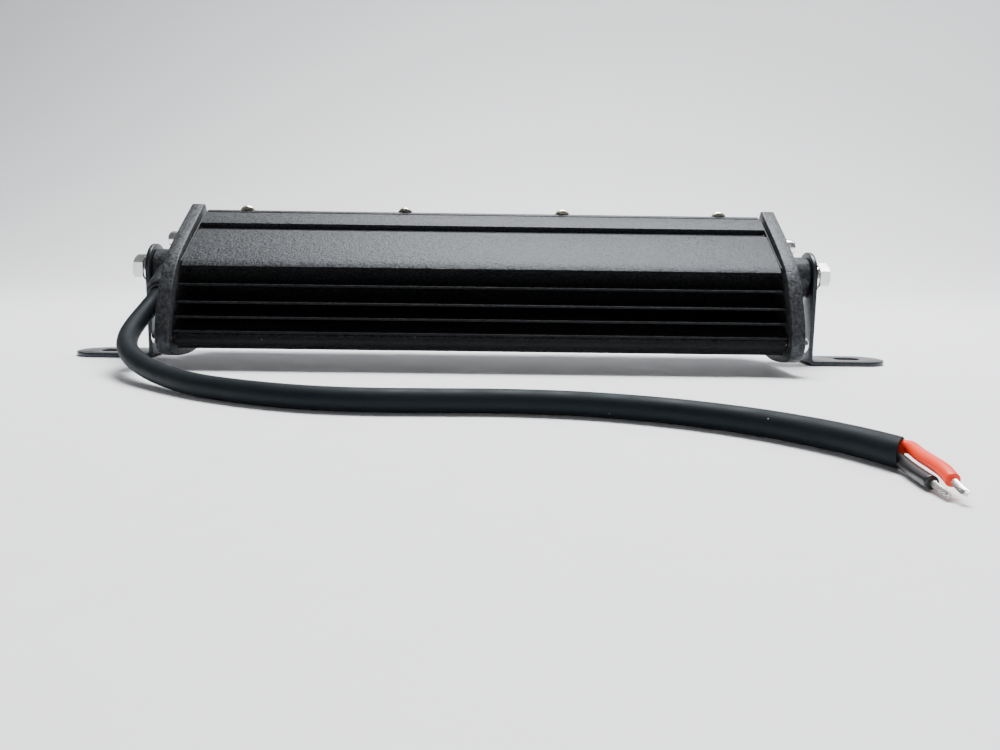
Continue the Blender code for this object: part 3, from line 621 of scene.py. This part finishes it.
SCREW_SPOTS = [(NOSE_A, 0.0), (PORT_A, PORT_H), (PORT_A, -PORT_H)]
inner, outer = BAR_LENGTH / 2 - CAP_THICK, BAR_LENGTH / 2
for side in (-1, 1):
    word = "right" if side > 0 else "left"
    lo, hi = sorted((side * inner, side * outer))
    cap = plate("end_cap_" + word + "_casting", [fine_outline()], lo, hi, look=CAP, bevel=0.45)
    bm = bmesh.new()
    turned(bm, [(0, 0), (9.0, 0), (9.0, 1.1), (8.75, 1.5), (8.4, 2.1), (8.15, 3.1), (BOSS_R, 4.6), (BOSS_R, BOSS_END - outer + 0.4),
                (BOSS_R - 0.12, BOSS_END - outer + 0.8), (BOSS_R - 0.5, BOSS_END - outer + 1.0), (0, BOSS_END - outer + 1.0)],
           (side * (outer - 1.0), BOLT_A, 0), (side, 0, 0), 64)
    boolean(cap, finish_mesh("boss", bm, cutter=True), "UNION")
    if side < 0:
        bm = bmesh.new()
        turned(bm, [(0, 0), (HOOD_R - 0.5, 0), (HOOD_R - 0.12, 0.15), (HOOD_R, 0.5), (HOOD_R - 0.3, 5.0), (HOOD_R - 1.0, HOOD_A1 - HOOD_A0), (0, HOOD_A1 - HOOD_A0)],
               (HOOD_X, HOOD_A0, HOOD_H), (0, 1, 0), 56)
        boolean(cap, finish_mesh("hood", bm, cutter=True), "UNION")
        for radius, length, n in ((4.9, 6.0, 48), (CABLE_R + 0.35, 11.5, 40)):
            bm = bmesh.new()
            rod(bm, (HOOD_X, HOOD_A0 - 1.0, HOOD_H), (0, 1, 0), length, radius, n)
            boolean(cap, finish_mesh("bore", bm, cutter=True))
        bm = bmesh.new()
        rod(bm, (HOOD_X, 38.3, HOOD_H), (1, 0, 0), 14.0, 2.8, 28)
        boolean(cap, finish_mesh("passage", bm, cutter=True))
    bm = bmesh.new()
    rod(bm, (side * (BOSS_END - 11.0), BOLT_A, 0), (side, 0, 0), 12.0, INSERT_R + GAP, 40)
    for a, h in SCREW_SPOTS:
        rod(bm, (side * (inner - 1), a, h), (side, 0, 0), CAP_THICK + 2, 1.8, 24)
    boolean(cap, finish_mesh("holes", bm, cutter=True))
    done(cap, "lamp", "powder_coat", "end_cap_" + word)

# ------------------------------------------------------------------ screws with cross recesses
HEAD = [(0, 0), (1.1, 0), (1.1, None), (3.0, None), (3.02, 0.25), (3.0, 0.75), (2.85, 1.25), (2.5, 1.75), (2.0, 2.1), (1.3, 2.33), (0.6, 2.45), (0, 2.47)]


def screw(name, node, origin, direction, shank, look, turn, scale=1.0, tall=0.0):
    profile = [(r, z) for r, z in HEAD[:2]]
    profile += [(1.1, shank)] + [(r * scale if r > 1.1 else r, shank + (z or 0.0) + (tall if (z or 0.0) > 0.5 else 0.0)) for r, z in HEAD[3:]]
    bm = bmesh.new()
    turned(bm, profile, origin, direction, 40)
    obj = finish_mesh(name, bm, look)
    bm = bmesh.new()
    place = axis_matrix(Vector(origin) + Vector(direction).normalized() * (shank + tall + 1.9), direction)
    for quarter in (0, 1):
        spin = place @ Matrix.Rotation(turn + quarter * pi / 2, 4, "Z")
        bmesh.ops.create_cube(bm, size=1.0, matrix=spin @ Matrix.Diagonal((3.2 * MM, 0.62 * MM, 2.0 * MM, 1.0)))
    first = finish_mesh("cross", bm, cutter=True, smooth=False)
    mod_bm = bmesh.new()
    bmesh.ops.create_cone(mod_bm, cap_ends=True, segments=16, radius1=0.35 * MM, radius2=0.8 * MM, depth=2.2 * MM, matrix=place)
    centre = finish_mesh("centre", mod_bm, cutter=True, smooth=False)
    boolean(first, centre, "UNION")
    boolean(obj, first)
    return done(obj, "lamp", "zinc_fastener", node)


turns = random.Random(5)
for side in (-1, 1):
    word = "right" if side > 0 else "left"
    for number, (a, h) in enumerate(SCREW_SPOTS, 1):
        screw(f"cap_screw_{word}_{number}_head", f"end_cap_screw_{word}_{number}", (side * (outer - 14.9), a, h), (side, 0, 0), 15.2, ZINC, turns.uniform(0, 1.5), 1.0, 1.4 if number > 1 else 0.0)
for s, word in ((1, "top"), (-1, "bottom")):
    for number, x in enumerate(BEZEL_SCREW_X, 1):
        screw(f"front_screw_{word}_{number}_head", f"bezel_screw_{word}_{number}", (x, 55.0, s * BEZEL_SCREW_H), (0, 1, 0), 8.6, YELLOW_ZINC, turns.uniform(0, 1.5), 1.02)

# ------------------------------------------------------------------ bolts and washers
for side in (-1, 1):
    word = "right" if side > 0 else "left"
    x = LEG_X + SHEET + GAP
    bm = bmesh.new()
    turned(bm, [(BOLT_R + GAP, 0.05), (5.5, 0.0), (5.6, 0.1), (5.6, 0.7), (5.5, 0.8), (BOLT_R + GAP, 0.8)], (side * x, BOLT_A, 0), (side, 0, 0), 64, closed=True)
    done(finish_mesh("washer_flat_" + word, bm, ZINC), "lamp", "zinc_fastener", "flat_washer_" + word)
    x += 0.8 + GAP
    bm = bmesh.new()
    turned(bm, [(BOLT_R + GAP, 0), (4.9, 0), (5.0, 0.1), (5.0, 1.1), (4.9, 1.2), (BOLT_R + GAP, 1.2)], (side * x, BOLT_A, 0), (side, 0, 0), 64, closed=True)
    lock = finish_mesh("washer_lock_" + word, bm, ZINC)
    bm = bmesh.new()
    block(bm, (side * (x + 0.6) - 1.5, BOLT_A - 0.3, 2.5), (side * (x + 0.6) + 1.5, BOLT_A + 0.3, 6.5), Matrix.Rotation(radians(25), 4, "Z"))
    boolean(lock, finish_mesh("split", bm, cutter=True))
    done(lock, "lamp", "zinc_fastener", "spring_washer_" + word)
    x += 1.2 + GAP
    bm = bmesh.new()
    base = axis_matrix((side * x, BOLT_A, 0), (side, 0, 0))
    bmesh.ops.create_cone(bm, cap_ends=True, segments=6, radius1=HEX_AF / 2 / cos(pi / 6) * MM, radius2=HEX_AF / 2 / cos(pi / 6) * MM,
                          depth=HEX_H * MM, matrix=base @ Matrix.Rotation(HEX_TURN, 4, "Z") @ Matrix.Translation((0, 0, HEX_H / 2 * MM)))
    bolt = finish_mesh("hex_bolt_" + word, bm, ZINC, smooth=False)
    bm = bmesh.new()
    turned(bm, [(0, -0.5), (6.5, -0.5), (6.5, HEX_H - 1.05), (4.75, HEX_H), (0, HEX_H)], (side * x, BOLT_A, 0), (side, 0, 0), 72)
    boolean(bolt, finish_mesh("chamfer", bm, cutter=True), "INTERSECT")
    bm = bmesh.new()
    turned(bm, [(0, 0), (BOLT_R, 0), (BOLT_R, x - 119.0 + 1.0), (0, x - 119.0 + 1.0)], (side * 119.0, BOLT_A, 0), (side, 0, 0), 40)
    boolean(bolt, finish_mesh("shank", bm, cutter=True), "UNION")
    bolt.data.set_sharp_from_angle(angle=radians(12))
    done(bolt, "lamp", "zinc_fastener", "bolt_" + word)


# ------------------------------------------------------------------ brackets
def bracket(side):
    word = "right" if side > 0 else "left"
    place = Matrix.Translation(Vector((side * LEG_X, BOLT_Y, BOLT_Z)) * MM)
    foot, outer_r = -BOLT_Z, BEND_R + SHEET
    path = [(0.0, BRACKET_HALF)]
    for i in range(13):
        angle = pi + (pi / 2) * i / 12
        path.append((outer_r + outer_r * cos(angle), foot + outer_r + outer_r * sin(angle)))
    path += [(FOOT_END - LEG_X, foot), (FOOT_END - LEG_X, foot + SHEET)]
    for i in range(13):
        angle = 1.5 * pi - (pi / 2) * i / 12
        path.append((outer_r + BEND_R * cos(angle), foot + outer_r + BEND_R * sin(angle)))
    path.append((SHEET, BRACKET_HALF))
    body = plate("bracket_" + word + "_sheet", [[(side * x, z) for x, z in path]], -BRACKET_HALF, BRACKET_HALF, FACE_ON, SHEET_MAT, place)
    top = [(-BRACKET_HALF - 1, foot - 5), (BRACKET_HALF + 1, foot - 5), (BRACKET_HALF + 1, -0.01), (BRACKET_HALF, -0.01)]
    top += [(BRACKET_HALF * cos(pi * i / 48), BRACKET_HALF * sin(pi * i / 48)) for i in range(1, 48)]
    top += [(-BRACKET_HALF, -0.01), (-BRACKET_HALF - 1, -0.01)]
    boolean(body, plate("leg_shape", [top], -60, 60, SECTION, place=place, cutter=True), "INTERSECT")
    cx = FOOT_END - LEG_X - BRACKET_HALF
    end = [(side * -3.0, -BRACKET_HALF - 1), (side * cx, -BRACKET_HALF - 1), (side * cx, -BRACKET_HALF)]
    end += [(side * (cx + BRACKET_HALF * sin(pi * i / 48)), -BRACKET_HALF * cos(pi * i / 48)) for i in range(1, 48)]
    end += [(side * cx, BRACKET_HALF), (side * cx, BRACKET_HALF + 1), (side * -3.0, BRACKET_HALF + 1)]
    boolean(body, plate("foot_shape", [end], -60, 60, WORLD, place=place, cutter=True), "INTERSECT")
    x0, x1 = SLOT_X0 - LEG_X + SLOT_R, SLOT_X1 - LEG_X - SLOT_R
    slot = [(side * (x1 + SLOT_R * sin(pi * i / 24)), -SLOT_R * cos(pi * i / 24)) for i in range(25)]
    slot += [(side * (x0 - SLOT_R * sin(pi * i / 24)), SLOT_R * cos(pi * i / 24)) for i in range(25)]
    boolean(body, plate("slot", [slot], foot - 2, foot + 4, WORLD, place=place, cutter=True))
    bm = bmesh.new()
    rod(bm, (side * -1.0, 0, 0), (side, 0, 0), 4.0, BOLT_R + GAP, 48)
    boolean(body, finish_mesh("hole", bm, place=place, cutter=True))
    # soft edges where the sheet was punched
    bm = bmesh.new()
    bm.from_mesh(body.data)
    bmesh.ops.remove_doubles(bm, verts=bm.verts, dist=2e-6)
    bmesh.ops.dissolve_limit(bm, angle_limit=radians(0.5), verts=bm.verts, edges=bm.edges)
    sharp = [e for e in bm.edges if len(e.link_faces) == 2 and e.calc_face_angle(0) > radians(55)]
    bmesh.ops.bevel(bm, geom=sharp, offset=0.22 * MM, segments=2, profile=0.5, affect="EDGES", clamp_overlap=True)
    bm.to_mesh(body.data)
    bm.free()
    body.data.shade_smooth()
    body.data.set_sharp_from_angle(angle=radians(35))
    done(body, "bracket_" + word + "_body", "bracket_sheet", "bracket_" + word)


bracket(-1)
bracket(1)

# ------------------------------------------------------------------ front
bezel = plate("front_frame",
              [rounded(rect(-BODY_HALF, -RAIL_H, BODY_HALF, RAIL_H), 0.8, 6), rounded(rect(-102.5, -12.4, 102.5, 12.4), 2.5, 8)],
              61.6, 63.3, FACE_ON, BODY, bevel=0.3)
bm = bmesh.new()
for x in BEZEL_SCREW_X:
    for s in (-1, 1):
        rod(bm, (x, 60.0, s * BEZEL_SCREW_H), (0, 1, 0), 5.0, 1.4, 24)
boolean(bezel, finish_mesh("bezel_holes", bm, cutter=True))
done(bezel, "lamp", "powder_coat", "front_bezel")

LED_X = [(i - 5.5) * 17.0 for i in range(12)]
LED_SPOTS = [(x, h) for x in LED_X for h in (-7.0, 7.0)]
bm = bmesh.new()
block(bm, (-107.0, 48.0, -14.3), (107.0, 56.3, 14.3))
reflector = finish_mesh("reflector_cups", bm, MIRROR)
bm = bmesh.new()
for x, h in LED_SPOTS:
    turned(bm, [(0, 0), (2.5, 0), (3.6, 1.4), (4.6, 3.2), (5.4, 5.2), (6.0, 7.2), (6.35, 8.8), (6.4, 9.4), (0, 9.4)], (x, 47.6, h), (0, 1, 0), 32)
boolean(reflector, finish_mesh("cups", bm, cutter=True))
done(reflector, "lamp", "reflector_mirror", "reflector")

# LED packages: white body, yellow phosphor window
bm = bmesh.new()
block(bm, (-106.0, 46.4, -9.5), (106.0, 46.65, 9.5))
leds = finish_mesh("led_packages", bm, BOARD, smooth=False)
bm = bmesh.new()
for x, h in LED_SPOTS:
    block(bm, (x - 1.75, 46.5, h - 1.75), (x + 1.75, 47.45, h + 1.75))
boolean(leds, finish_mesh("bodies", bm, cutter=True, smooth=False), "UNION")
done(leds, "lamp", "led_board", "led_array")
bm = bmesh.new()
for x, h in LED_SPOTS:
    turned(bm, [(0, 0), (1.35, 0), (1.35, 0.06), (1.0, 0.13), (0.5, 0.17), (0, 0.18)], (x, 47.46, h), (0, 1, 0), 24)
done(finish_mesh("led_phosphor_domes", bm, PHOSPHOR), "lamp", "led_phosphor")

# rubber gland in the mouth of the hood
bm = bmesh.new()
turned(bm, [(CABLE_R + GAP, 0.1), (CABLE_R + GAP + 0.1, -0.25), (3.95, -0.5), (4.2, -0.45), (4.5, -0.1), (4.6, 0.4), (4.6, 5.4), (CABLE_R + GAP, 5.4)],
       (HOOD_X, HOOD_A0 - 0.9, HOOD_H), (0, 1, 0), 56, closed=True)
done(finish_mesh("gland_collar", bm, RUBBER), "lamp", "silicone", "cable_gland")

# ------------------------------------------------------------------ CAD nodes that stay, with finished materials
KEEP = {
    "end_gasket_left": RUBBER, "end_gasket_right": RUBBER, "lens_gasket": RUBBER, "lens": LENS, "led_board": BOARD,
    "thermal_pad_top": PAD, "thermal_pad_bottom": PAD, "driver_board": GREEN, "driver_inductor": PART_BLACK,
    "driver_capacitor": PART_BLACK, "driver_chip": PART_BLACK, "inner_lead_red": RED, "inner_lead_black": BLACK_CORE,
    "bolt_insert_left": BRASS, "bolt_insert_right": BRASS,
}
for node, look in KEEP.items():
    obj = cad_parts[node]
    for index in range(max(1, len(obj.material_slots))):
        if index < len(obj.material_slots):
            obj.material_slots[index].link = "OBJECT"
            obj.material_slots[index].material = look

# ------------------------------------------------------------------ floor, backdrop and light
sweep_bm = bmesh.new()
profile = [(-1.6, 0.0), (0.5, 0.0)] + [(0.5 + 1.0 * sin(pi / 2 * i / 32), 1.0 - 1.0 * cos(pi / 2 * i / 32)) for i in range(1, 33)] + [(1.5, 3.2)]
rows = [[sweep_bm.verts.new((x, y, z - 0.0002)) for y, z in profile] for x in (-4.0, 4.0)]
for i in range(len(profile) - 1):
    sweep_bm.faces.new((rows[0][i], rows[1][i], rows[1][i + 1], rows[0][i + 1]))
mesh = bpy.data.meshes.new("floor")
sweep_bm.to_mesh(mesh)
sweep_bm.free()
mesh.shade_smooth()
floor = bpy.data.objects.new("floor", mesh)
bpy.context.scene.collection.objects.link(floor)
floor_n = plain("pale_floor", (0.80, 0.81, 0.83), 0.55, grain=300.0, depth=0.00001, vary=0.015, specular=0.3)
mesh.materials.append(floor_n.mat)

world = bpy.data.worlds.new("studio")
bpy.context.scene.world = world
world.use_nodes = True
world.node_tree.nodes["Background"].inputs["Color"].default_value = (0.93, 0.96, 1.0, 1.0)
world.node_tree.nodes["Background"].inputs["Strength"].default_value = 0.14


def area(name, location, target, size, power, size_y=None):
    light = bpy.data.lights.new(name, "AREA")
    light.shape = "RECTANGLE"
    light.size, light.size_y, light.energy = size, size_y or size, power
    obj = bpy.data.objects.new(name, light)
    obj.location = location
    obj.rotation_euler = (Vector(target) - Vector(location)).to_track_quat("-Z", "Y").to_euler()
    bpy.context.scene.collection.objects.link(obj)


area("softbox_overhead", (0.12, 0.26, 1.0), (0.0, 0.0, 0.0), 0.80, 34.5, 0.50)
area("card_camera", (0.15, -1.2, 0.45), (0.0, 0.0, 0.03), 0.7, 2.5, 0.5)
area("softbox_wall", (0.9, 0.35, 1.6), (0.8, 1.5, 0.55), 2.0, 34.0, 0.6)

bpy.data.collections.remove(cutters)
